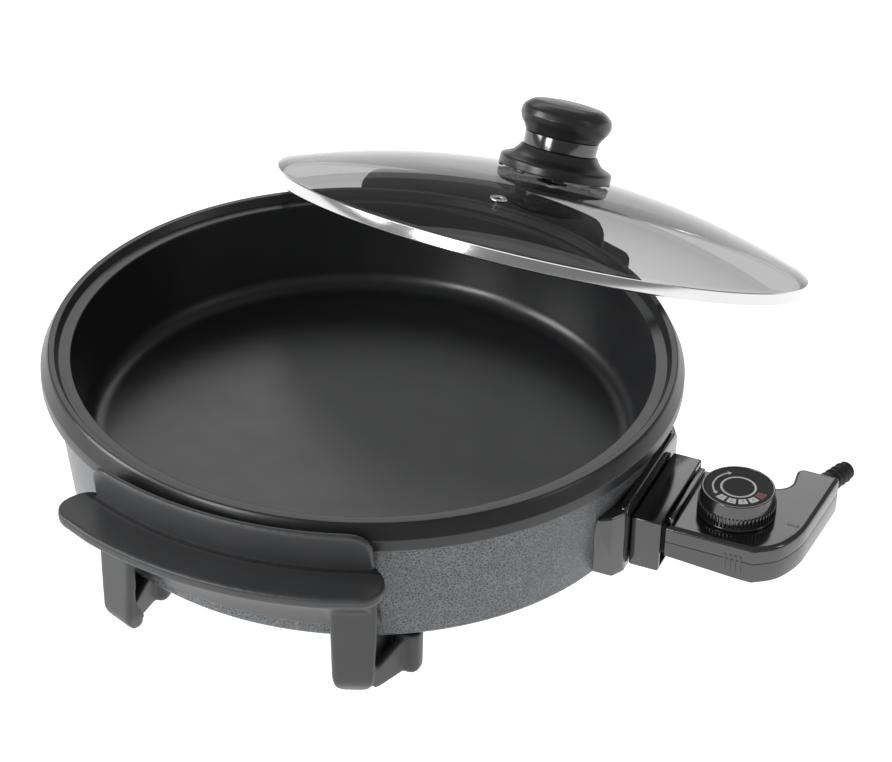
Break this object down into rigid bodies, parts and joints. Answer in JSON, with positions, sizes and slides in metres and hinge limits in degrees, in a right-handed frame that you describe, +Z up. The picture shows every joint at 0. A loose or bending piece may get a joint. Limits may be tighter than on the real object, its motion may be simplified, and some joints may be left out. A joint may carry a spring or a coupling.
{
  "type": "multifunction cooker",
  "caption": "Round electric party pan on two moulded handles, with a plug-in thermostat and a domed glass lid that leans on the far handle.",
  "frame": {"origin": "middle of the bounding box in plan, on the table that the pan stands on", "axes": "+Z up; +X from the pan towards the plug-in thermostat; +Y from the near handle towards the far handle, where the lid leans"},
  "size_m": [0.5224, 0.6924, 0.1765],
  "materials": {
    "black_coating": "cast, with a satin black non-stick coating",
    "hammered_paint": "hammered dark grey paint",
    "bare_steel": "plain",
    "polished_steel": "polished",
    "brass": "plain",
    "black_gloss": "high gloss",
    "black_moulding": "satin heat-proof moulding",
    "black_knob": "satin",
    "heatproof_moulding": "matt",
    "dial_print": "printed disc",
    "clear_lens": "clear",
    "soft_rubber": "matt",
    "clear_glass": "clear, slightly grey"
  },
  "bodies": {
    "pan": {"base_cover": "bare_steel", "base_screw_1": "bare_steel", "base_screw_2": "bare_steel", "base_screw_3": "bare_steel", "earth_contact": "brass", "element_clamp_1": "bare_steel", "element_clamp_2": "bare_steel", "element_clamp_3": "bare_steel", "handle_far": "black_moulding", "handle_near": "black_moulding", "handle_screw_1": "bare_steel", "handle_screw_2": "bare_steel", "handle_screw_3": "bare_steel", "handle_screw_4": "bare_steel", "heating_element": "bare_steel", "outer_jacket": "hammered_paint", "pan_bowl": "black_coating", "sensor_guide": "brass", "socket_bracket": "black_gloss", "socket_shroud": "black_gloss", "terminal_pin_left": "brass", "terminal_pin_right": "brass"},
    "thermostat": {"case_screw_1": "bare_steel", "case_screw_2": "bare_steel", "case_screw_3": "bare_steel", "contact_carrier": "heatproof_moulding", "contact_sleeve_left": "brass", "contact_sleeve_right": "brass", "cord_boot": "soft_rubber", "cord_clamp": "bare_steel", "pilot_lens": "clear_lens", "sensor_probe": "bare_steel", "switch_blade": "brass", "switch_block": "heatproof_moulding", "thermostat_lower_case": "black_gloss", "thermostat_upper_case": "black_gloss"},
    "dial": {"dial_face": "dial_print", "dial_knob": "black_gloss", "dial_spindle": "bare_steel"},
    "lid": {"knob_base": "black_knob", "knob_cap": "black_knob", "knob_neck_ring": "black_gloss", "knob_screw": "polished_steel", "knob_washer": "soft_rubber", "lid_band": "polished_steel", "lid_glass": "clear_glass", "vent_eyelet": "polished_steel"}
  },
  "joints": [
    {"name": "thermostat_pull", "type": "slide", "parent": "pan", "child": "thermostat", "axis": [1, 0, 0], "range_m": [0, 0.1]},
    {"name": "dial_turn", "type": "hinge", "parent": "thermostat", "child": "dial", "pos_m": [0.20911, -0.0987, 0.08], "axis": [0, 0, 1], "range_deg": [-270, 0]},
    {"name": "lid_lift", "type": "slide", "parent": "pan", "child": "lid", "axis": [0, 0, 1], "range_m": [0, 0.2]}
  ]
}
